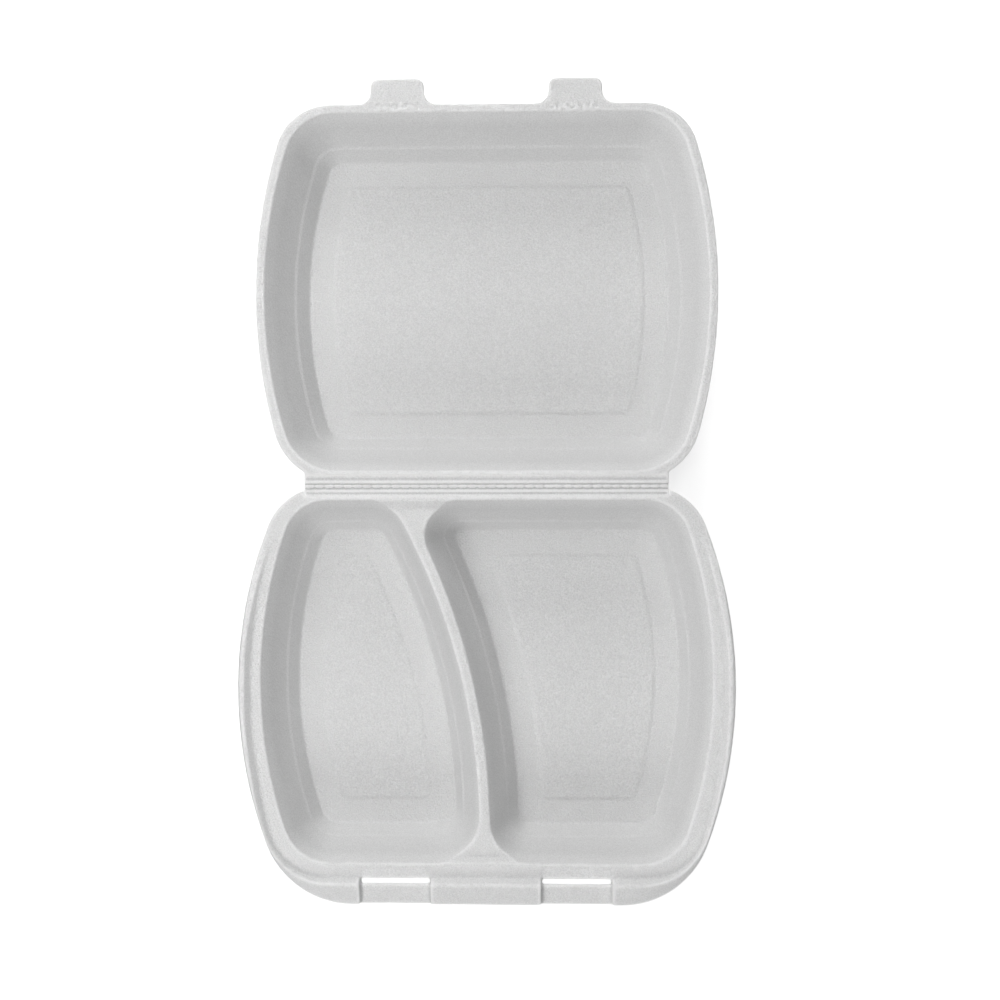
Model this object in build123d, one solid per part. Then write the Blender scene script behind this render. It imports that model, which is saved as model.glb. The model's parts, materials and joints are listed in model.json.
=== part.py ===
from build123d import *
import math
import os

os.makedirs("parts", exist_ok=True)

# A white foam meal box with two compartments, open flat. It is pressed from one sheet:
# a base, a lid joined to it along a thin hinge strip, and two closing tabs on the lid.
# Sizes are in millimetres. While modelling, Y = 0 is the hinge line: the base lies at
# negative Y and the lid at positive Y. The last step moves the origin to the bottom middle.

# The sheet and the heights both halves share
foam = 2.4                          # thickness of the pressed sheet
pivot_z = 35.0                      # height of the hinge line over the table
closed_gap = 0.3                    # air between the two rims when the box is shut
rim_z = pivot_z - closed_gap / 2    # top of the base ledge and of the lid rim
sheet_under = rim_z - foam          # underside of the rims
clear = 20.0                        # any distance well clear of the part
above = rim_z + clear
below = -clear

# The outer edge of the base, seen from above; the other outlines take their place from it
skirt_half_width = 121.5
skirt_front_y = -203.2
skirt_side_radius = 218.0
skirt_front_corner = 45.0
skirt_rear_corner = 30.0

# The lid rim, smaller than the skirt by these steps
lid_side_step = 7.5
lid_front_step = 14.2
lid_half_width = skirt_half_width - lid_side_step
lid_far_y = -skirt_front_y - lid_front_step
lid_near_y = 2.2
lid_bulge_y = 97.0
lid_side_radius = 262.0
lid_far_corner = 27.0
lid_near_corner = 33.0
rim_edge_bevel = 0.6

# The base ledge: the lid rim drops onto it with this room all round
side_room = 1.2
front_room = 0.8
ledge_front_corner = lid_far_corner + 1.0

# The raised lip; the skirt falls from its outer edge
lip_height = 4.0
lip_wall_run = 2.8                  # how far the lip wall leans out on its way up
lip_side_step = 1.5                 # the lip's edge lies this far inside the skirt at the sides
lip_front_step = 9.5                # and this far at the front
lip_front_y = skirt_front_y + lip_front_step
lip_front_corner = 37.0
skirt_drop = 0.6                    # the upright part of the skirt starts this far under the rim
skirt_z = rim_z - skirt_drop
skirt_thickness = 2.2               # the skirt is stretched a little thinner than the sheet
lip_under_foot = 1.3                # the channel under the lip starts this far outside the ledge
lip_under_top = 4.2                 # and has leaned out this far at its roof
ramp_start_y = -19.0                # the lip grows out of the flat rear corner here
ramp_end_y = -75.0                  # and has its full height from here on

# The compartments, given at their mouths; the walls lean in evenly on the way down
mouth_side_step = 3.4               # from the lid rim's edge in to the mouth
mouth_front_step = 5.6
mouth_half_width = lid_half_width - mouth_side_step
mouth_front_y = -lid_far_y + mouth_front_step
mouth_rear_y = -6.6
mouth_side_radius = 225.0
base_bulge_y = -93.5
base_wall_lean = 14.4               # how far the floor outline lies inside the mouth
left_corners = [24.0, 22.0, 20.0, 22.0]
right_corners = [20.0, 24.0, 22.0, 17.6]

# The curved wall between the compartments: circles about one shared centre
divider_share = 0.8                 # share of a change in width that moves the divider
divider_reach = 231.82
divider_x = -divider_reach - divider_share * mouth_half_width
divider_step = 15.2                 # the shared centre lies this far behind the front mouth line
divider_y = mouth_front_y + divider_step
divider_radius = 319.6              # middle of the divider
divider_width = 2.1                 # at rim height; it is wider at its lower top
divider_drop = 3.0                  # the top of the divider is this far under the rim
saddle_front_y = mouth_front_y + 0.3        # the divider top leaves the front rim here
saddle_front_low_y = saddle_front_y + 3.0   # reaches its low stretch here
saddle_rear_y = mouth_rear_y - 0.3          # and meets the rear rim here,
saddle_rear_low_y = saddle_rear_y - 3.2     # after it starts to climb here
saddle_left_x = divider_x + 260.0   # the divider top lies between these two places
saddle_right_x = divider_x + 350.0

# Small shoulder that runs round every wall near the floor
shoulder_z = 12.0
shoulder_rise = 0.9
shoulder_low_share = 0.72           # share of the wall lean under and over the shoulder
shoulder_high_share = 0.66

bottom_bevel = 1.5                  # bevel round the underside of each bowl

# Raised panels in the middle of each floor
panel_rise = 0.9
panel_inset = 12.0
panel_slope = 1.6

# The lid bowl
lid_mouth_side_step = 4.1           # from the lid rim's edge in to the mouth
lid_mouth_far_step = 3.7
lid_mouth_near_step = 5.2
lid_mouth_half_width = lid_half_width - lid_mouth_side_step
lid_mouth_far_y = lid_far_y - lid_mouth_far_step
lid_mouth_near_y = lid_near_y + lid_mouth_near_step
lid_mouth_radius = 241.0
lid_mouth_far_corner = 25.0
lid_mouth_near_corner = 27.0
lid_wall_lean = 18.2
smallest_corner = 3.0

# The closing tabs and the slots that take them
tab_x = 44.0
tab_width = 26.6
tab_thickness = 2.0
tab_length = 12.6
tab_tip_y = lid_far_y + tab_length
tab_root_fillet = 6.2
tab_tip_fillet = 3.8
tab_root_depth = 2.5                # the tab runs this far back into the rim
tab_root_flare = 3.0                # extra root width beyond its two fillets
crease_step = 1.9                   # the tab bends along a line this far outside the rim
crease_y = lid_far_y + crease_step
slot_room = 0.3                     # room before and behind a tab in its slot
slot_length = 33.5
pocket_margin = 0.5                 # the pocket is a little longer than its slot
pocket_land = 1.2                   # level strip between the slot and the pocket's front slope
pocket_drop = 0.4
pocket_inner_y = mouth_front_y - 1.2
pocket_skirt_drop = 3.0

# The hinge strip, pressed thin, with a groove each side of a middle ridge
strip_side_step = 32.2
strip_half_width = skirt_half_width - strip_side_step
strip_thickness = 1.7
strip_drop = 0.5                    # the strip lies this far under the rims
strip_base_y = -4.6
strip_lid_y = 5.4
strip_root = 0.5                    # the strip runs this far into each rim
groove_offset = 1.3
groove_half_width = 0.7
groove_depth = 0.6


def side_point(side, y, outward):
    """Point at height y on a side curve, given as centre x, centre y, radius and bulge."""
    centre_x, centre_y, radius, bulge = side
    grown = radius + bulge * outward
    return (centre_x + bulge * math.sqrt(grown ** 2 - (y - centre_y) ** 2), y)


def outline(left, right, front_y, rear_y, corners, grow=0.0):
    """Closed outline between two curved sides, with four rounded corners.

    The corners are front left, front right, rear right and rear left.
    """
    front = front_y - grow
    rear = rear_y + grow
    middle = (front + rear) / 2
    front_left = side_point(left, front, -grow)
    front_right = side_point(right, front, grow)
    rear_right = side_point(right, rear, grow)
    rear_left = side_point(left, rear, -grow)
    border = Curve() + [
        Line(front_left, front_right),
        ThreePointArc(front_right, side_point(right, middle, grow), rear_right),
        Line(rear_right, rear_left),
        ThreePointArc(rear_left, side_point(left, middle, -grow), front_left),
    ]
    shape = make_face(border)
    points = [front_left, front_right, rear_right, rear_left]
    for point, radius in zip(points, corners):
        corner = shape.vertices().sort_by_distance((point[0], point[1], 0))[0]
        shape = fillet(corner, max(radius + grow, smallest_corner))
    return shape


def barrel(half_width, bulge_y, radius, front_y, rear_y, front_corner, rear_corner, grow=0.0):
    """Outline that is the same left and right, widest at bulge_y."""
    left = (radius - half_width, bulge_y, radius, -1)
    right = (half_width - radius, bulge_y, radius, 1)
    corners = [front_corner, front_corner, rear_corner, rear_corner]
    return outline(left, right, front_y, rear_y, corners, grow)


def stack(*levels):
    """Solid through flat outlines, each given with its height."""
    return loft([Pos(0, 0, z) * shape for z, shape in levels], ruled=True)


def tower(section, levels):
    """Solid whose outline grows or shrinks evenly between levels of (height, grow)."""
    slices = []
    for (low_z, low_grow), (high_z, high_grow) in zip(levels, levels[1:]):
        height = high_z - low_z
        lean = math.degrees(math.atan2(high_grow - low_grow, height))
        slices.append(extrude(Pos(0, 0, low_z) * section(low_grow), amount=height, taper=-lean))
    solid = slices[0]
    for upper in slices[1:]:
        solid += upper
    return solid


def across(points):
    """Solid with this profile of (y, z) points, as wide as the whole part."""
    profile = make_face(Polyline(points, close=True))
    return extrude(Plane.YZ * profile, amount=skirt_half_width + clear, both=True)


def block(x_from, x_to, y_from, y_to, z_from, z_to):
    """Box between the given limits."""
    middle = ((x_from + x_to) / 2, (y_from + y_to) / 2, (z_from + z_to) / 2)
    return Pos(*middle) * Box(x_to - x_from, y_to - y_from, z_to - z_from)


# Mouth outlines; a negative grow gives the outline further down the wall
def left_compartment(grow=0.0):
    side = (mouth_side_radius - mouth_half_width, base_bulge_y, mouth_side_radius, -1)
    divider = (divider_x, divider_y, divider_radius - divider_width / 2, 1)
    return outline(side, divider, mouth_front_y, mouth_rear_y, left_corners, grow)


def right_compartment(grow=0.0):
    divider = (divider_x, divider_y, divider_radius + divider_width / 2, 1)
    side = (mouth_half_width - mouth_side_radius, base_bulge_y, mouth_side_radius, 1)
    return outline(divider, side, mouth_front_y, mouth_rear_y, right_corners, grow)


def lid_bowl(grow=0.0):
    return barrel(lid_mouth_half_width, lid_bulge_y, lid_mouth_radius, lid_mouth_near_y,
                  lid_mouth_far_y, lid_mouth_near_corner, lid_mouth_far_corner, grow)


def hollow(section, lean):
    """The air inside a bowl: floor, shoulder, wall, and straight up from its mouth."""
    return tower(section, [(foam, -lean),
                           (shoulder_z, -lean * shoulder_low_share),
                           (shoulder_z + shoulder_rise, -lean * shoulder_high_share),
                           (rim_z, 0),
                           (above, 0)])


def body_levels(lean):
    """Levels of the same bowl one sheet thickness larger, with a bevelled bottom edge."""
    outer_shoulder_z = shoulder_z - foam
    return [(0, foam - lean - bottom_bevel),
            (bottom_bevel, foam - lean),
            (outer_shoulder_z, foam - lean * shoulder_low_share),
            (outer_shoulder_z + shoulder_rise, foam - lean * shoulder_high_share),
            (rim_z - foam / 2, foam)]


def floor_panel(section, lean, bottom_z):
    """Low flat-topped step in the middle of a floor."""
    foot = section(-lean - panel_inset)
    top = section(-lean - panel_inset - panel_slope)
    return stack((bottom_z, foot), (bottom_z + panel_rise, top))


# Base rim: a plate whose edge rises to the lip and hangs down outside as the skirt
def skirt_outline(grow=0.0):
    return barrel(skirt_half_width, -lid_bulge_y, skirt_side_radius, skirt_front_y, 0,
                  skirt_front_corner, skirt_rear_corner, grow)


def lip_outline():
    return barrel(skirt_half_width - lip_side_step, -lid_bulge_y,
                  skirt_side_radius - lip_side_step, lip_front_y, -lip_side_step,
                  lip_front_corner, skirt_rear_corner)


def ledge_outline(grow=0.0):
    return barrel(lid_half_width + side_room, -lid_bulge_y, lid_side_radius,
                  -lid_far_y - front_room, -lid_near_y, ledge_front_corner,
                  lid_near_corner, grow)


def lip_ramp(top_drop):
    """Everything under a roof that is flat behind, climbs, and stays level in front."""
    low = rim_z - top_drop
    high = rim_z + lip_height - top_drop
    front = skirt_front_y - clear
    return across([(clear, below), (clear, low), (ramp_start_y, low), (ramp_end_y, high),
                   (front, high), (front, below)])


lip_z = rim_z + lip_height
lip_sheet = foam * 1.12             # the sheet measured straight down on the slope
rim_solid = stack((sheet_under, skirt_outline()), (skirt_z, skirt_outline()),
                  (lip_z, lip_outline())) & lip_ramp(0)

# The channel under the lip, open below, one sheet thickness inside it
channel_z = lip_z - lip_sheet
channel_outer = stack((sheet_under - 1, skirt_outline(-skirt_thickness)),
                      (sheet_under, skirt_outline(-skirt_thickness)), (channel_z, lip_outline()))
channel_inner = tower(ledge_outline, [(sheet_under - 2, lip_under_foot),
                                      (sheet_under, lip_under_foot),
                                      (channel_z + 1, lip_under_top)])
channel = (channel_outer - channel_inner) & lip_ramp(lip_sheet)

# Each pocket stays solid behind its slot, so the channel stops beside it
pocket_half = slot_length / 2 + pocket_margin
for direction in (-1, 1):
    centre = direction * tab_x
    channel -= block(centre - pocket_half - foam, centre + pocket_half + foam,
                     skirt_front_y - clear, mouth_front_y, 0, above)
rim_solid -= channel

# The dip the lid rim lands in, over the whole ledge
ledge_recess = tower(ledge_outline, [(rim_z, 0), (lip_z, lip_wall_run), (above, lip_wall_run)])
base = rim_solid - ledge_recess

# The two tubs under the plate. Their divider walls curve about one centre, and two tapered
# solids about one axis don't join, so the right tub is lofted through the same levels.
base += tower(left_compartment, body_levels(base_wall_lean))
base += stack(*[(z, right_compartment(grow)) for z, grow in body_levels(base_wall_lean)])

# The divider is the two tub walls folded together; its top dips below the rim
saddle = [(saddle_rear_y, rim_z), (saddle_rear_low_y, rim_z - divider_drop),
          (saddle_front_low_y, rim_z - divider_drop), (saddle_front_y, rim_z)]
saddle_band = block(saddle_left_x, saddle_right_x, saddle_front_y, saddle_rear_y, 0, above)
saddle_under = [(y, z - foam) for y, z in reversed(saddle)]
base += across(saddle + saddle_under) & saddle_band
base -= across(saddle + [(saddle_front_y, above), (saddle_rear_y, above)]) & saddle_band

# Panels: a step up inside and the same step pressed in from below
for section in (left_compartment, right_compartment):
    base -= hollow(section, base_wall_lean)
    base -= floor_panel(section, base_wall_lean, 0)
    base += floor_panel(section, base_wall_lean, foam)

# A pocket for each tab, lower than the lip, with the slot through it
slot_inner_y = -crease_y + slot_room
slot_outer_y = slot_inner_y - tab_thickness - 2 * slot_room
pocket_z = rim_z - pocket_drop
pocket_skirt_z = skirt_z - pocket_skirt_drop
land_y = slot_outer_y - pocket_land
pocket_top = [(pocket_inner_y, pocket_z), (land_y, pocket_z), (skirt_front_y, pocket_skirt_z)]
pocket_under = [(skirt_front_y, pocket_skirt_z - foam), (land_y, pocket_z - foam),
                (pocket_inner_y, pocket_z - foam)]
pocket_air = [(skirt_front_y - clear, pocket_skirt_z), (skirt_front_y - clear, above),
              (pocket_inner_y, above)]
side_wall_top = [(pocket_inner_y, sheet_under + foam / 2), (skirt_front_y, skirt_z - foam / 2)]
for direction in (-1, 1):
    centre = direction * tab_x
    wide = block(centre - pocket_half - foam, centre + pocket_half + foam,
                 skirt_front_y - clear, pocket_inner_y, 0, above)
    narrow = block(centre - pocket_half, centre + pocket_half,
                   skirt_front_y - clear, pocket_inner_y, 0, above)
    base += across(side_wall_top + pocket_under) & wide
    base -= across(pocket_top + pocket_air) & narrow
    base -= block(centre - slot_length / 2, centre + slot_length / 2,
                  slot_outer_y, slot_inner_y, below, above)


def hinge_half(edge_y, direction):
    """Half of the hinge strip, from the hinge line into its rim, with one groove."""
    inner_y = edge_y + direction * strip_root
    top = rim_z - strip_drop
    bottom = top - strip_thickness
    groove = direction * groove_offset
    near = groove - direction * groove_half_width
    far = groove + direction * groove_half_width
    points = [(0, bottom), (0, rim_z), (near, top), (groove, top - groove_depth), (far, top),
              (edge_y, top), (edge_y, rim_z), (inner_y, rim_z), (inner_y, bottom)]
    strip = across(points)
    return strip & block(-strip_half_width, strip_half_width, -clear, clear, 0, above)


rear_cut = block(-strip_half_width, strip_half_width, strip_base_y, clear, below, above)
base = base - rear_cut + hinge_half(strip_base_y, -1)


# The lid: a rim plate with a rounded edge, a bowl, and a root for each tab
def lid_rim(grow=0.0):
    return barrel(lid_half_width, lid_bulge_y, lid_side_radius, lid_near_y, lid_far_y,
                  lid_near_corner, lid_far_corner, grow)


lid = tower(lid_rim, [(sheet_under, -rim_edge_bevel), (sheet_under + rim_edge_bevel, 0),
                      (rim_z - rim_edge_bevel, 0), (rim_z, -rim_edge_bevel)])
lid += tower(lid_bowl, body_levels(lid_wall_lean))
lid -= hollow(lid_bowl, lid_wall_lean)
lid -= floor_panel(lid_bowl, lid_wall_lean, 0)
lid += floor_panel(lid_bowl, lid_wall_lean, foam)
front_cut = block(-strip_half_width, strip_half_width, -clear, strip_lid_y, below, above)
lid = lid - front_cut + hinge_half(strip_lid_y, 1)


def tab_plate(centre):
    """One tab with its flared root, flat, before it is parted at the crease."""
    root_y = lid_far_y - tab_root_depth
    half = tab_width / 2
    root_half = half + tab_root_fillet + tab_root_flare / 2
    right_side = [(root_half, root_y), (root_half, lid_far_y), (half, lid_far_y),
                  (half, tab_tip_y)]
    left_side = [(-x, y) for x, y in reversed(right_side)]
    shape = make_face(Polyline(right_side + left_side, close=True))
    for x in (-half, half):
        root = shape.vertices().sort_by_distance((x, lid_far_y, 0))[0]
        shape = fillet(root, tab_root_fillet)
        tip = shape.vertices().sort_by_distance((x, tab_tip_y, 0))[0]
        shape = fillet(tip, tab_tip_fillet)
    return Pos(centre, 0, rim_z - tab_thickness) * extrude(shape, amount=tab_thickness)


tabs = {}
for name, direction in (("tab_left", -1), ("tab_right", 1)):
    plate = tab_plate(direction * tab_x)
    behind = block(-lid_half_width, lid_half_width, 0, crease_y, 0, above)
    lid += plate & behind
    tabs[name] = plate - behind

# Origin to the bottom middle of the open box
shift_y = -(skirt_front_y + tab_tip_y) / 2
shift = Pos(0, shift_y, 0)
nodes = {"base_tray": base, "lid": lid, **tabs}
for name, solid in nodes.items():
    moved = shift * solid
    print(name, "solids", len(moved.solids()), "valid", moved.is_valid,
          "volume cm3", round(moved.volume / 1000, 2), moved.bounding_box())
    export_step(moved, f"parts/{name}.step")
print("shift in Y", round(shift_y, 3))
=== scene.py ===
# %% [markdown]
# # A white foam meal box, open flat
#
# The real box is one sheet of expanded polystyrene foam, warmed and pressed between two
# moulds. A base with two compartments, a lid and two closing tabs come out of it in one
# stroke, and they stay joined along a thin pressed strip. This script gives the packed
# construction model the look of that sheet: soft edges, a fine bead grain, smooth stretched
# walls and a serrated hinge ridge.

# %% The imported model
import json
import math
import bpy
import numpy
from mathutils import Matrix, Vector


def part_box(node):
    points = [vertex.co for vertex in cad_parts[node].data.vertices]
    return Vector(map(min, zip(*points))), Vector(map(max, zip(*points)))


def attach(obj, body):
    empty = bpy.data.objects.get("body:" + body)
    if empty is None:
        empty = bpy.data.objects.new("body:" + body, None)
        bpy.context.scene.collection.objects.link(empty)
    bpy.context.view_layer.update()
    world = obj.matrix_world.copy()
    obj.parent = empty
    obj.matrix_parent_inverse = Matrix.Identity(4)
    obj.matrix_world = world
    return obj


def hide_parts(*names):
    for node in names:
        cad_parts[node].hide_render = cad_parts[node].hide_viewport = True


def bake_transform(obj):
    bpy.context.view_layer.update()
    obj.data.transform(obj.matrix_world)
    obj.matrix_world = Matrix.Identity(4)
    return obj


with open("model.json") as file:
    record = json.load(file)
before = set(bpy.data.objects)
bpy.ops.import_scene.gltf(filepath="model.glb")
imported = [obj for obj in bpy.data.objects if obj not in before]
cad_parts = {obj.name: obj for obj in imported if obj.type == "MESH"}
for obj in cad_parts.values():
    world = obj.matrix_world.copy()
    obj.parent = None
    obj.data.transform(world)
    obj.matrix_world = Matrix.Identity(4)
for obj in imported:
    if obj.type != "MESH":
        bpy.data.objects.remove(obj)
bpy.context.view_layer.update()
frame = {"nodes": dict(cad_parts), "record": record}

mm = 0.001
base_low, base_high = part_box("base_tray")
lid_low, lid_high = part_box("lid")
tab_low, tab_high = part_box("tab_left")

hinge_y = lid_low.y
rim_z = lid_high.z
crease_y = tab_low.y
print("hinge line at y", round(hinge_y / mm, 2), "rims at z", round(rim_z / mm, 2),
      "tab creases at y", round(crease_y / mm, 2))

# %% [markdown]
# ## Camera
#
# The box is seen from almost straight above, a little off its middle. A camera can be turned
# by angles, but it is easier to say where it stands and where it looks, and to work out the
# picture's right and up directions from that: the world's Y axis points up in the picture.

# %% Camera
camera_place = Vector((31.3, -35.4, 843.0)) * mm
looking = Vector((-0.0302, 0.0363, -0.9989)).normalized()
sensor_width = 36.0
lens_length = 59.6
right = looking.cross(Vector((0, 1, 0))).normalized()
up = right.cross(looking)

camera_data = bpy.data.cameras.new("camera")
camera_data.sensor_width = sensor_width
camera_data.lens = lens_length
camera = bpy.data.objects.new("camera", camera_data)
bpy.context.scene.collection.objects.link(camera)
turn = Matrix((right, up, -looking)).transposed()
camera.matrix_world = Matrix.Translation(camera_place) @ turn.to_4x4()
bpy.context.scene.camera = camera
print("camera height in mm:", round(camera_place.z / mm))

# %% [markdown]
# ## Floor and light
#
# The box lies on a plain white surface. White foam on white needs more light from one side, or
# every wall would have the same shade. So most of the light is one long soft box that hangs
# to the left, level with the box from its front to its back, with a second lamp on that side.
# A lamp overhead, one at the front and one at the back soften the shadows, a thin lamp that
# lies low on the right lifts the skirt on that side, and a weak sky fills the rest. The floor
# and the sky are brighter to the camera than to the object, so they read as white, the floor
# also through the slots.

# %% Floor
floor_size = 6.0
bpy.ops.object.select_all(action="DESELECT")
bpy.ops.mesh.primitive_plane_add(size=floor_size, location=(0, 0, 0))
floor = bpy.context.object
floor.name = "floor"

floor_white = 0.80
floor_glow = 0.66
floor_roughness = 0.9
floor_material = bpy.data.materials.new("floor_white")
floor_material.use_nodes = True
nodes = floor_material.node_tree.nodes
links = floor_material.node_tree.links
paint = nodes["Principled BSDF"]
paint.inputs["Base Color"].default_value = (floor_white, floor_white, floor_white, 1)
paint.inputs["Roughness"].default_value = floor_roughness
paint.inputs["Specular IOR Level"].default_value = 0.0
paint.inputs["Emission Color"].default_value = (1, 1, 1, 1)
seen = nodes.new("ShaderNodeLightPath")
glow = nodes.new("ShaderNodeMath")
glow.operation = "MULTIPLY"
glow.inputs[1].default_value = floor_glow
links.new(seen.outputs["Is Camera Ray"], glow.inputs[0])
links.new(glow.outputs[0], paint.inputs["Emission Strength"])
floor.data.materials.append(floor_material)

# %% Lights
sky_strength = 0.105
lamp_target = Vector((0, 0, 25)) * mm

world = bpy.data.worlds.new("pale_room")
world.use_nodes = True
nodes = world.node_tree.nodes
links = world.node_tree.links
nodes["Background"].inputs["Color"].default_value = (1, 1, 1, 1)
seen = nodes.new("ShaderNodeLightPath")
sky = nodes.new("ShaderNodeMath")
sky.operation = "MAXIMUM"
sky.inputs[1].default_value = sky_strength
links.new(seen.outputs["Is Camera Ray"], sky.inputs[0])
links.new(sky.outputs[0], nodes["Background"].inputs["Strength"])
bpy.context.scene.world = world


def soft_box(name, place, width, length, power):
    """A rectangular lamp that faces the box, with its sizes in mm and its power in watts."""
    data = bpy.data.lights.new(name, "AREA")
    data.shape = "RECTANGLE"
    data.size = width * mm
    data.size_y = length * mm
    data.energy = power
    lamp = bpy.data.objects.new(name, data)
    bpy.context.scene.collection.objects.link(lamp)
    lamp.location = Vector(place) * mm
    lamp.rotation_euler = (lamp_target - lamp.location).to_track_quat("-Z", "Y").to_euler()
    return lamp


# The long soft box keeps its length along Y, so it is only tipped towards the object
long_box = soft_box("long_soft_box", place=(-300, 220, 650), width=150, length=1800, power=2.75)
long_box.rotation_euler = (0, math.atan2(long_box.location.x, long_box.location.z), 0)
soft_box("left_lamp", place=(-450, 300, 700), width=380, length=380, power=0.95)
soft_box("top_lamp", place=(40, 160, 900), width=300, length=300, power=1.46)
soft_box("front_lamp", place=(0, -750, 400), width=600, length=200, power=1.60)
soft_box("back_lamp", place=(0, 1300, 650), width=1000, length=340, power=4.2)

# The thin lamp stands on its edge and looks level towards -X
low_lamp = soft_box("low_right_lamp", place=(330, 0, 15), width=30, length=600, power=0.16)
low_lamp.rotation_euler = (0, math.radians(90), 0)

bpy.context.scene.view_settings.view_transform = "Standard"
print("sky", sky_strength, "lamps", len(bpy.data.lights))

# %% [markdown]
# ## One helper for copies of the construction model
#
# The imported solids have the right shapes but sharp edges. They are never changed: the script
# copies them, and the copy becomes the soft sheet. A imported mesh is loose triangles, so a copy
# is merged first. Where two solids of the sheet touch face to face, at a tab crease, the two
# touching faces are deleted, so that the copy is one closed body.

# %% Helpers for copying and finishing a mesh
merge_distance = 0.002 * mm
same_place = 0.01 * mm


def select_only(thing):
    """Make this object the only selected one, and the active one."""
    bpy.ops.object.select_all(action="DESELECT")
    thing.select_set(True)
    bpy.context.view_layer.objects.active = thing


def copy_nodes(name, node_names):
    """One new object from copies of these nodes, with its loose triangles merged."""
    copies = []
    for node_name in node_names:
        copy = bpy.data.objects.new(name, frame["nodes"][node_name].data.copy())
        bpy.context.scene.collection.objects.link(copy)
        copies.append(copy)
    select_only(copies[0])
    for copy in copies:
        copy.select_set(True)
    if len(copies) > 1:
        bpy.ops.object.join()
    joined = bpy.context.object
    joined.data.materials.clear()
    bpy.ops.object.mode_set(mode="EDIT")
    bpy.ops.mesh.select_all(action="SELECT")
    bpy.ops.mesh.remove_doubles(threshold=merge_distance)
    bpy.ops.object.mode_set(mode="OBJECT")
    return joined


def delete_faces_at_y(thing, y):
    """Delete every face that lies in the upright plane at this y."""
    select_only(thing)
    bpy.ops.object.mode_set(mode="EDIT")
    bpy.ops.mesh.select_mode(type="FACE")
    bpy.ops.mesh.select_all(action="DESELECT")
    bpy.ops.object.mode_set(mode="OBJECT")
    for face in thing.data.polygons:
        spread = max(abs(thing.data.vertices[v].co.y - y) for v in face.vertices)
        face.select = spread < same_place
    bpy.ops.object.mode_set(mode="EDIT")
    bpy.ops.mesh.delete(type="ONLY_FACE")
    bpy.ops.object.mode_set(mode="OBJECT")


def apply_modifiers(thing):
    """Apply every modifier of this object, in order."""
    select_only(thing)
    for modifier in list(thing.modifiers):
        bpy.ops.object.modifier_apply(modifier=modifier.name)


# %% [markdown]
# ## The pressed sheet
#
# A warm foam sheet can't take a sharp fold: every edge of the mould comes out rounded by about
# a millimetre, and the surface stays very slightly wavy. A bevel would have to find every
# edge of a complicated shape. A voxel remesh is simpler and closer to the real process: it
# wraps the whole body in a new skin of small even faces, a smooth step rounds the edges, and
# weak cloud textures move the skin in and out by about a tenth of a millimetre. The sheet
# rolls over most at the top, where a wall turns into a rim, so the rims and the divider top
# get a second smooth step. At the tab roots a stronger cloud leaves the crushed foam of a box
# that was shut before. Flat stretches don't need so many faces, so a decimate step takes most
# of them away again.

# %% Softening
full_voxel = 0.62 * mm
voxel = full_voxel
smooth_share = 0.5
smooth_steps = 3
crest_steps = 15
wave_size = 16 * mm
wave_height = 0.16 * mm
rough_size = 3 * mm
rough_height = 0.08 * mm
crush_size = 2.6 * mm
crush_height = 1.5 * mm
most_faces = 190000

# Where the crests are smoothed again
crest_depth = 7.5 * mm
crest_depth_blend = 2.5 * mm
crest_rise = 0.9 * mm
crest_rise_blend = 0.5 * mm
crest_front_y = base_low.y + 24 * mm
crest_front_blend = 3 * mm

# Where the tab roots are crushed
tab_root_y = crease_y - 3.4 * mm
tab_root_reach = 1.6 * mm
tab_root_depth = 1.2 * mm
tab_root_depth_blend = 0.6 * mm
tab_root_side_blend = 2 * mm
tab_middle_x = (tab_low.x + tab_high.x) / 2
tab_root_half_width = (tab_high.x - tab_low.x) / 2 - tab_root_side_blend


def clouds(name, size):
    """A cloud texture with blobs of about this size."""
    texture = bpy.data.textures.new(name, "CLOUDS")
    texture.noise_scale = size
    texture.noise_depth = 1
    return texture


wave_clouds = clouds("wave_clouds", wave_size)
rough_clouds = clouds("rough_clouds", rough_size)
crush_clouds = clouds("crush_clouds", crush_size)


def smooth_step(share):
    """0 below 0, 1 above 1, and a soft curve between them."""
    share = min(1.0, max(0.0, share))
    return share * share * (3 - 2 * share)


def crest_weight(place):
    """1 along the rims and the divider top, 0 at the walls, the lip and the front ledge."""
    above_walls = smooth_step((place.z - (rim_z - crest_depth)) / crest_depth_blend)
    below_lip = smooth_step((rim_z + crest_rise - place.z) / crest_rise_blend)
    behind_front = smooth_step((place.y - crest_front_y) / crest_front_blend)
    return above_walls * below_lip * behind_front


def crush_weight(place):
    """1 in the middle of a tab root, where closing and opening the tab crushed the foam."""
    from_middle = abs(abs(place.x) - abs(tab_middle_x))
    along = smooth_step(2 - abs(place.y - tab_root_y) / tab_root_reach)
    across = smooth_step((tab_root_half_width - from_middle) / tab_root_side_blend)
    on_top = smooth_step((place.z - (rim_z - tab_root_depth)) / tab_root_depth_blend)
    return along * across * on_top


def weigh(thing, name, weight_at):
    """Store a vertex group whose weight depends on the place of each point."""
    group = thing.vertex_groups.new(name=name)
    for point in thing.data.vertices:
        weight = weight_at(point.co)
        if weight > 0:
            group.add([point.index], weight, "REPLACE")


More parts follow.
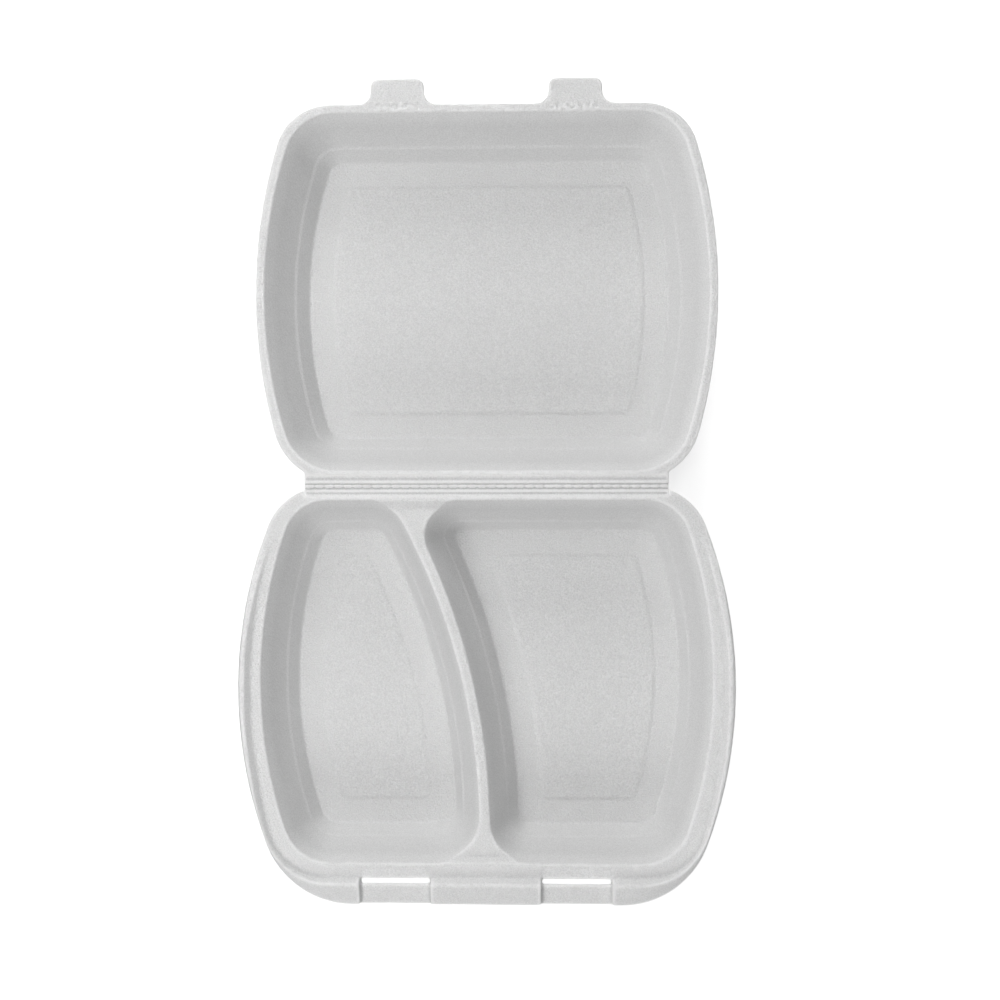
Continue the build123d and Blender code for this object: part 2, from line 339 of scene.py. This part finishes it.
def soften(thing):
    """Give a sharp closed body the rounded, slightly wavy skin of pressed foam."""
    remesh = thing.modifiers.new("remesh", "REMESH")
    remesh.mode = "VOXEL"
    remesh.voxel_size = voxel
    remesh.use_smooth_shade = True
    apply_modifiers(thing)
    weigh(thing, "crest", crest_weight)
    weigh(thing, "crush", crush_weight)
    for steps, group in ((smooth_steps, ""), (crest_steps, "crest")):
        smooth = thing.modifiers.new("smooth", "SMOOTH")
        smooth.factor = smooth_share
        smooth.iterations = steps
        smooth.vertex_group = group
    for texture, height, group in ((wave_clouds, wave_height, ""),
                                   (rough_clouds, rough_height, ""),
                                   (crush_clouds, crush_height, "crush")):
        ripple = thing.modifiers.new("ripple", "DISPLACE")
        ripple.texture = texture
        ripple.strength = height
        ripple.mid_level = 0.5
        ripple.vertex_group = group
    apply_modifiers(thing)
    triangles = 2 * len(thing.data.polygons)
    if triangles > most_faces:
        thin = thing.modifiers.new("thin", "DECIMATE")
        thin.ratio = most_faces / triangles
        apply_modifiers(thing)
    print(thing.name, "skin of", triangles, "triangles, kept", len(thing.data.polygons))
    return thing


# %% [markdown]
# The hinge strip is pressed so thin that it gets a finer model of its own further down. So the
# coarse strip is first cut off both halves, with a box that is as wide as the strip.

# %% Cutting off the strip
strip_half_width = 89.3 * mm
strip_base_y = hinge_y - 4.6 * mm
strip_lid_y = hinge_y + 5.4 * mm
cut_room = 20 * mm


def cut_box(thing, low, high):
    """Cut everything between two corners off this object."""
    bpy.ops.object.select_all(action="DESELECT")
    bpy.ops.mesh.primitive_cube_add(size=1, location=(low + high) / 2)
    cutter = bpy.context.object
    cutter.scale = high - low
    bpy.ops.object.transform_apply(location=False, rotation=False, scale=True)
    cut = thing.modifiers.new("cut", "BOOLEAN")
    cut.operation = "DIFFERENCE"
    cut.solver = "EXACT"
    cut.object = cutter
    apply_modifiers(thing)
    bpy.data.objects.remove(cutter)
    return thing


base_sheet = copy_nodes("base_sheet", ["base_tray"])
cut_box(base_sheet, Vector((-strip_half_width, strip_base_y, 0)),
        Vector((strip_half_width, hinge_y + cut_room, rim_z + cut_room)))
soften(base_sheet)

lid_sheet = copy_nodes("lid_sheet", ["lid", "tab_left", "tab_right"])
delete_faces_at_y(lid_sheet, crease_y)
cut_box(lid_sheet, Vector((-strip_half_width, hinge_y - cut_room, 0)),
        Vector((strip_half_width, strip_lid_y, rim_z + cut_room)))
soften(lid_sheet)

# %% [markdown]
# ## The foam
#
# Foam is a crowd of small closed cells. On a flat stretch they show as a fine pebbled grain
# with a faint sparkle. On a wall the sheet was pulled to more than its length, so the cells
# are stretched flat and the skin looks smooth. The colour is a little whiter at the rims and
# greyer the deeper down a point lies, which is painted shade. Outward edges get a painted
# highlight, and inward corners a line of painted shade.
#
# One material does it all: a cell pattern and a finer noise raise bumps, the attribute stretch,
# near 1 on steep walls, weakens them, a depth attribute, 1 on the floors, greys the white as
# painted shade, and an edge attribute, above 1 on outward edges and below 1 in corners, scales
# the colour for the painted highlights and shade.

# %% Foam material
foam_colour = frame["record"]["materials"][0]["base_color"]
# The rims a little whiter and the floors greyer: painted shade that deepens towards the bottom
rim_colour = [channel * 1.02 for channel in foam_colour]
floor_colour = [channel * 0.915 for channel in foam_colour]
grain_size = 1.25 * mm
speck_size = 0.6 * mm
mottle_size = 9 * mm
cloudiness = 0.2
whitest = 0.97
foam_roughness = 0.5
foam_shine = 0.35
cell_height = 0.30 * mm
speck_height = 0.36 * mm
wall_grain = 0.22
speck_low = 0.3
speck_high = 0.7
dark_speck = 0.88
bright_speck = 1.07


def noise_node(nodes, size, detail):
    """A noise texture with features of this size."""
    noise = nodes.new("ShaderNodeTexNoise")
    noise.inputs["Scale"].default_value = 1 / size
    noise.inputs["Detail"].default_value = detail
    return noise


def foam_material(name):
    """White foam with a fine grain that fades where the sheet was stretched."""
    material = bpy.data.materials.new(name)
    material.use_nodes = True
    nodes = material.node_tree.nodes
    links = material.node_tree.links
    foam = nodes["Principled BSDF"]
    foam.inputs["Roughness"].default_value = foam_roughness
    foam.inputs["Specular IOR Level"].default_value = foam_shine
    place = nodes.new("ShaderNodeTexCoord")

    # Cells, and the finer specks on them
    cells = nodes.new("ShaderNodeTexVoronoi")
    cells.feature = "F1"
    cells.inputs["Scale"].default_value = 1 / grain_size
    specks = noise_node(nodes, speck_size, detail=2)
    mottle = noise_node(nodes, mottle_size, detail=3)
    for texture in (cells, specks, mottle):
        links.new(place.outputs["Object"], texture.inputs["Vector"])

    # The grain is full on flats and weak on walls
    stretch = nodes.new("ShaderNodeAttribute")
    stretch.attribute_name = "stretch"
    grain = nodes.new("ShaderNodeMapRange")
    grain.inputs["To Min"].default_value = 1.0
    grain.inputs["To Max"].default_value = wall_grain
    links.new(stretch.outputs["Fac"], grain.inputs["Value"])

    cell_bump = nodes.new("ShaderNodeBump")
    cell_bump.invert = True
    cell_bump.inputs["Distance"].default_value = cell_height
    links.new(cells.outputs["Distance"], cell_bump.inputs["Height"])
    links.new(grain.outputs["Result"], cell_bump.inputs["Strength"])
    speck_bump = nodes.new("ShaderNodeBump")
    speck_bump.inputs["Distance"].default_value = speck_height
    links.new(specks.outputs["Fac"], speck_bump.inputs["Height"])
    links.new(grain.outputs["Result"], speck_bump.inputs["Strength"])
    links.new(cell_bump.outputs["Normal"], speck_bump.inputs["Normal"])
    links.new(speck_bump.outputs["Normal"], foam.inputs["Normal"])

    # Colour: full white at the rims and greyer deeper down, which is painted shade, with a faint
    # cloudiness, and specks a little brighter or darker
    depth_shade = nodes.new("ShaderNodeAttribute")
    depth_shade.attribute_name = "depth_shade"
    depth = nodes.new("ShaderNodeMath")
    depth.operation = "MULTIPLY_ADD"
    depth.inputs[1].default_value = cloudiness
    links.new(mottle.outputs["Fac"], depth.inputs[0])
    links.new(depth_shade.outputs["Fac"], depth.inputs[2])
    depth.use_clamp = True
    cloudy_and_shaded = nodes.new("ShaderNodeMixRGB")
    cloudy_and_shaded.blend_type = "MIX"
    cloudy_and_shaded.inputs["Color1"].default_value = (*rim_colour, 1)
    cloudy_and_shaded.inputs["Color2"].default_value = (*floor_colour, 1)
    links.new(depth.outputs[0], cloudy_and_shaded.inputs["Fac"])
    sparkle = nodes.new("ShaderNodeMapRange")
    sparkle.inputs["From Min"].default_value = speck_low
    sparkle.inputs["From Max"].default_value = speck_high
    sparkle.inputs["To Min"].default_value = dark_speck
    sparkle.inputs["To Max"].default_value = bright_speck
    links.new(specks.outputs["Fac"], sparkle.inputs["Value"])
    tinted = nodes.new("ShaderNodeVectorMath")
    tinted.operation = "SCALE"
    links.new(cloudy_and_shaded.outputs["Color"], tinted.inputs[0])
    links.new(sparkle.outputs["Result"], tinted.inputs["Scale"])

    # The edge attribute scales the colour: a painted highlight on outward edges and painted
    # shade in inward corners
    edge = nodes.new("ShaderNodeAttribute")
    edge.attribute_name = "edge"
    edge_light_and_shade = nodes.new("ShaderNodeVectorMath")
    edge_light_and_shade.operation = "SCALE"
    links.new(tinted.outputs["Vector"], edge_light_and_shade.inputs[0])
    links.new(edge.outputs["Fac"], edge_light_and_shade.inputs["Scale"])
    capped = nodes.new("ShaderNodeVectorMath")
    capped.operation = "MINIMUM"
    capped.inputs[1].default_value = (whitest, whitest, whitest)
    links.new(edge_light_and_shade.outputs["Vector"], capped.inputs[0])
    links.new(capped.outputs["Vector"], foam.inputs["Base Color"])
    return material


foam_white = foam_material("foam_white")


# %% Marking where the sheet was stretched, and where shade and highlights are painted
# Painted highlight on outward edges and painted shade in inward corners, as shares of the colour
edge_curve = 0.30 / mm
edge_highlight = 0.21
corner_shade = 0.20
calm_share = 0.14
deep_share = 0.1
deep_from = rim_z - 4 * mm
deep_blend = 6 * mm
shortest_edge = 0.05 * mm
level_normal = 0.95
normal_blend = 0.35
# Between these two heights the painted shade grows from none to full
depth_shade_top = rim_z - 2 * mm
depth_shade_bottom = rim_z - 12 * mm


def neighbour_mean(edges, values):
    """For every point, the mean of a value over the points it shares an edge with."""
    total = numpy.zeros_like(values)
    count = numpy.zeros(len(values))
    for near, far in ((edges[:, 0], edges[:, 1]), (edges[:, 1], edges[:, 0])):
        numpy.add.at(total, near, values[far])
        numpy.add.at(count, near, 1)
    return total / numpy.maximum(count, 1)


def paint_edge_light_and_shade(thing):
    """Store how far the colour of each point is scaled: up on outward edges for a painted
    highlight, down in corners for painted shade.
    """
    mesh = thing.data
    places = numpy.empty(3 * len(mesh.vertices))
    normals = numpy.empty(3 * len(mesh.vertices))
    mesh.vertices.foreach_get("co", places)
    mesh.vertices.foreach_get("normal", normals)
    places = places.reshape(-1, 3)
    normals = normals.reshape(-1, 3)
    edges = numpy.empty(2 * len(mesh.edges), dtype=int)
    mesh.edges.foreach_get("vertices", edges)
    edges = edges.reshape(-1, 2)

    # Along an edge the normal turns away from the next point on an outward bend
    step = places[edges[:, 1]] - places[edges[:, 0]]
    length = numpy.maximum((step ** 2).sum(axis=1), shortest_edge ** 2)
    bend = ((normals[edges[:, 1]] - normals[edges[:, 0]]) * step).sum(axis=1) / length
    curve = numpy.zeros(len(places))
    count = numpy.zeros(len(places))
    for end in (0, 1):
        numpy.add.at(curve, edges[:, end], bend)
        numpy.add.at(count, edges[:, end], 1)
    curve /= numpy.maximum(count, 1)
    curve = (curve + neighbour_mean(edges, curve)) / 2

    share = numpy.clip(curve / edge_curve, -1, 1)
    share = numpy.sign(share) * numpy.maximum(abs(share) - calm_share, 0) / (1 - calm_share)
    # Deep in the mould the painted highlights and corner shade are weaker
    depth = numpy.clip((deep_from - places[:, 2]) / deep_blend, 0, 1)
    share *= 1 - (1 - deep_share) * depth
    # Outward edges get a painted highlight, inward corners painted shade
    scale = 1 + numpy.where(share > 0, edge_highlight, corner_shade) * share
    marks = mesh.attributes.new("edge", "FLOAT", "POINT")
    marks.data.foreach_set("value", scale)
    print(thing.name, "edge marks from", round(scale.min(), 2), "to", round(scale.max(), 2))


def mark_stretch_and_shade(thing):
    """Store how steep each point of the sheet is, and how deep it lies, for the painted shade
    that greys the colour deeper down.
    """
    mesh = thing.data
    stretch = mesh.attributes.new("stretch", "FLOAT", "POINT")
    depth_shade = mesh.attributes.new("depth_shade", "FLOAT", "POINT")
    steepness = [smooth_step((level_normal - abs(point.normal.z)) / normal_blend)
                 for point in mesh.vertices]
    # The depth weight, 1 on the floors, greys the colour there as painted shade
    depths = [smooth_step((depth_shade_top - point.co.z) / (depth_shade_top - depth_shade_bottom))
              for point in mesh.vertices]
    stretch.data.foreach_set("value", steepness)
    depth_shade.data.foreach_set("value", depths)


# %% [markdown]
# ## Tabs
#
# Each tab bends softly where it leaves the lid. So the lid and its tabs are softened as one
# skin, which gets its stretch and depth attributes and its painted edge highlights and shade,
# and that skin is then parted just behind the crease line. The two sides of the cut have the
# same edge, so no seam shows.

# %% Parting the tabs from the lid
bend_start_y = crease_y - 1.2 * mm


def keep_one_side(thing, place, normal):
    """Cut along a plane, close the cut and keep the side the normal points away from."""
    select_only(thing)
    bpy.ops.object.mode_set(mode="EDIT")
    bpy.ops.mesh.select_all(action="SELECT")
    bpy.ops.mesh.bisect(plane_co=place, plane_no=normal, clear_outer=True, use_fill=True)
    # The cut edges stay selected; as sharp edges they keep the closing face out of the shading
    bpy.ops.mesh.mark_sharp()
    bpy.ops.object.mode_set(mode="OBJECT")
    return thing


def twin(thing, name):
    """A copy of this object with its own mesh."""
    copy = thing.copy()
    copy.data = thing.data.copy()
    copy.name = name
    bpy.context.scene.collection.objects.link(copy)
    return copy


for sheet in (base_sheet, lid_sheet):
    mark_stretch_and_shade(sheet)
    paint_edge_light_and_shade(sheet)

cut_place = Vector((0, bend_start_y, rim_z))
tab_sheets = {}
for side, direction in (("left", -1), ("right", 1)):
    tab_sheet = twin(lid_sheet, f"tab_sheet_{side}")
    keep_one_side(tab_sheet, cut_place, (0, -1, 0))
    keep_one_side(tab_sheet, Vector((0, 0, 0)), (-direction, 0, 0))
    tab_sheets[side] = tab_sheet
    print(tab_sheet.name, "faces", len(tab_sheet.data.polygons))
keep_one_side(lid_sheet, cut_place, (0, 1, 0))

# %% [markdown]
# ## Hinge strip
#
# Between the two halves the mould squeezes the sheet to a thin flexible strip. A narrow ridge
# runs along its middle, with a groove each side, and a row of small nicks makes the ridge
# look stitched. It is made as a strip is drawn on paper: an edge as long as the hinge is
# pulled through the profile step by step, then it is cut into short lengths and nicked.

# %% Hinge strip
strip_drop = 0.5 * mm
strip_thickness = 1.7 * mm
strip_root = 0.9 * mm

# From the base to the lid, a place along Y and the rise there over the top of the strip. Its
# first and last lines lie a little inside the sheets, so that no gap shows.
profile = [
    (strip_base_y - strip_root, 0.0),
    (hinge_y - 4.0 * mm, -0.20 * mm),
    (hinge_y - 3.4 * mm, -0.55 * mm),
    (hinge_y - 2.7 * mm, -0.05 * mm),
    (hinge_y - 1.8 * mm, -0.10 * mm),
    (hinge_y - 1.45 * mm, -0.85 * mm),
    (hinge_y - 1.0 * mm, -0.95 * mm),
    (hinge_y - 0.6 * mm, 0.35 * mm),
    (hinge_y, 0.85 * mm),
    (hinge_y + 0.6 * mm, 0.35 * mm),
    (hinge_y + 0.8 * mm, -1.0 * mm),
    (hinge_y + 1.15 * mm, -0.95 * mm),
    (hinge_y + 1.5 * mm, 0.15 * mm),
    (hinge_y + 2.0 * mm, 0.20 * mm),
    (hinge_y + 2.6 * mm, 0.0),
    (hinge_y + 3.2 * mm, -0.45 * mm),
    (hinge_y + 4.0 * mm, -0.50 * mm),
    (hinge_y + 4.8 * mm, -0.20 * mm),
    (strip_lid_y + strip_root, 0.0),
]

# The ridge has a row of nicks. One nick takes six columns of the strip and lowers two of them.
nick_count = 38
columns_per_nick = 6
nick_columns = 2
nick_depth = 1.1 * mm
ridge_half_width = 0.7 * mm

bpy.ops.object.select_all(action="DESELECT")
start_y, start_rise = profile[0]
bpy.ops.mesh.primitive_plane_add(size=2 * strip_half_width,
                                 location=(0, start_y + strip_half_width, 0))
strip = bpy.context.object
strip.name = "hinge_strip"
bpy.ops.object.transform_apply(location=True)
strip_top = rim_z - strip_drop
for vertex in strip.data.vertices:
    vertex.co.z = strip_top + start_rise
bpy.ops.object.mode_set(mode="EDIT")
bpy.ops.mesh.select_mode(type="VERT")
bpy.ops.mesh.select_all(action="DESELECT")
bpy.ops.object.mode_set(mode="OBJECT")
for vertex in strip.data.vertices:
    vertex.select = vertex.co.y > start_y + strip_half_width
bpy.ops.object.mode_set(mode="EDIT")
bpy.ops.mesh.delete(type="VERT")
bpy.ops.mesh.select_all(action="SELECT")
for (y, rise), (next_y, next_rise) in zip(profile, profile[1:]):
    step = (0, next_y - y, next_rise - rise)
    bpy.ops.mesh.extrude_region_move(TRANSFORM_OT_translate={"value": step})
bpy.ops.object.mode_set(mode="OBJECT")


def select_long_edges(thing):
    """Select the edges that run along X."""
    bpy.ops.object.mode_set(mode="EDIT")
    bpy.ops.mesh.select_mode(type="EDGE")
    bpy.ops.mesh.select_all(action="DESELECT")
    bpy.ops.object.mode_set(mode="OBJECT")
    for edge in thing.data.edges:
        first, second = (thing.data.vertices[v].co for v in edge.vertices)
        edge.select = abs(first.y - second.y) < same_place
    bpy.ops.object.mode_set(mode="EDIT")


for parts in (nick_count, columns_per_nick):
    select_long_edges(strip)
    bpy.ops.mesh.subdivide(number_cuts=parts - 1)
    bpy.ops.object.mode_set(mode="OBJECT")

column = 2 * strip_half_width / (nick_count * columns_per_nick)
for vertex in strip.data.vertices:
    on_ridge = abs(vertex.co.y - hinge_y) < ridge_half_width
    number = round((vertex.co.x + strip_half_width) / column)
    if on_ridge and number % columns_per_nick < nick_columns:
        vertex.co.z -= nick_depth
print("hinge strip columns", nick_count * columns_per_nick, "faces", len(strip.data.polygons),
      "top faces up", strip.data.polygons[0].normal.z > 0)

# %% Finishing the hinge strip
if strip.data.polygons[0].normal.z < 0:
    select_only(strip)
    bpy.ops.object.mode_set(mode="EDIT")
    bpy.ops.mesh.select_all(action="SELECT")
    bpy.ops.mesh.flip_normals()
    bpy.ops.object.mode_set(mode="OBJECT")
thick = strip.modifiers.new("thick", "SOLIDIFY")
thick.thickness = strip_thickness
thick.offset = -1
rounded = strip.modifiers.new("rounded", "SUBSURF")
rounded.levels = 1
rounded.render_levels = 1
apply_modifiers(strip)
bpy.ops.object.shade_smooth()
mark_stretch_and_shade(strip)
paint_edge_light_and_shade(strip)
print("hinge strip finished with", len(strip.data.polygons), "faces")

# %% [markdown]
# ## What moves with what
#
# The base sheet stays with the base and the lid sheet with the lid. The strip and the tabs
# are not attached to a body: their placement is baked into their meshes.

# %% Riding
sheets = [base_sheet, lid_sheet, strip, *tab_sheets.values()]
for sheet in sheets:
    sheet.data.materials.clear()
    sheet.data.materials.append(foam_white)

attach(base_sheet, "base")
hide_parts("base_tray")
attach(lid_sheet, "lid")
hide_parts("lid")
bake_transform(strip)
for side, tab_sheet in tab_sheets.items():
    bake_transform(tab_sheet)
    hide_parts(f"tab_{side}")
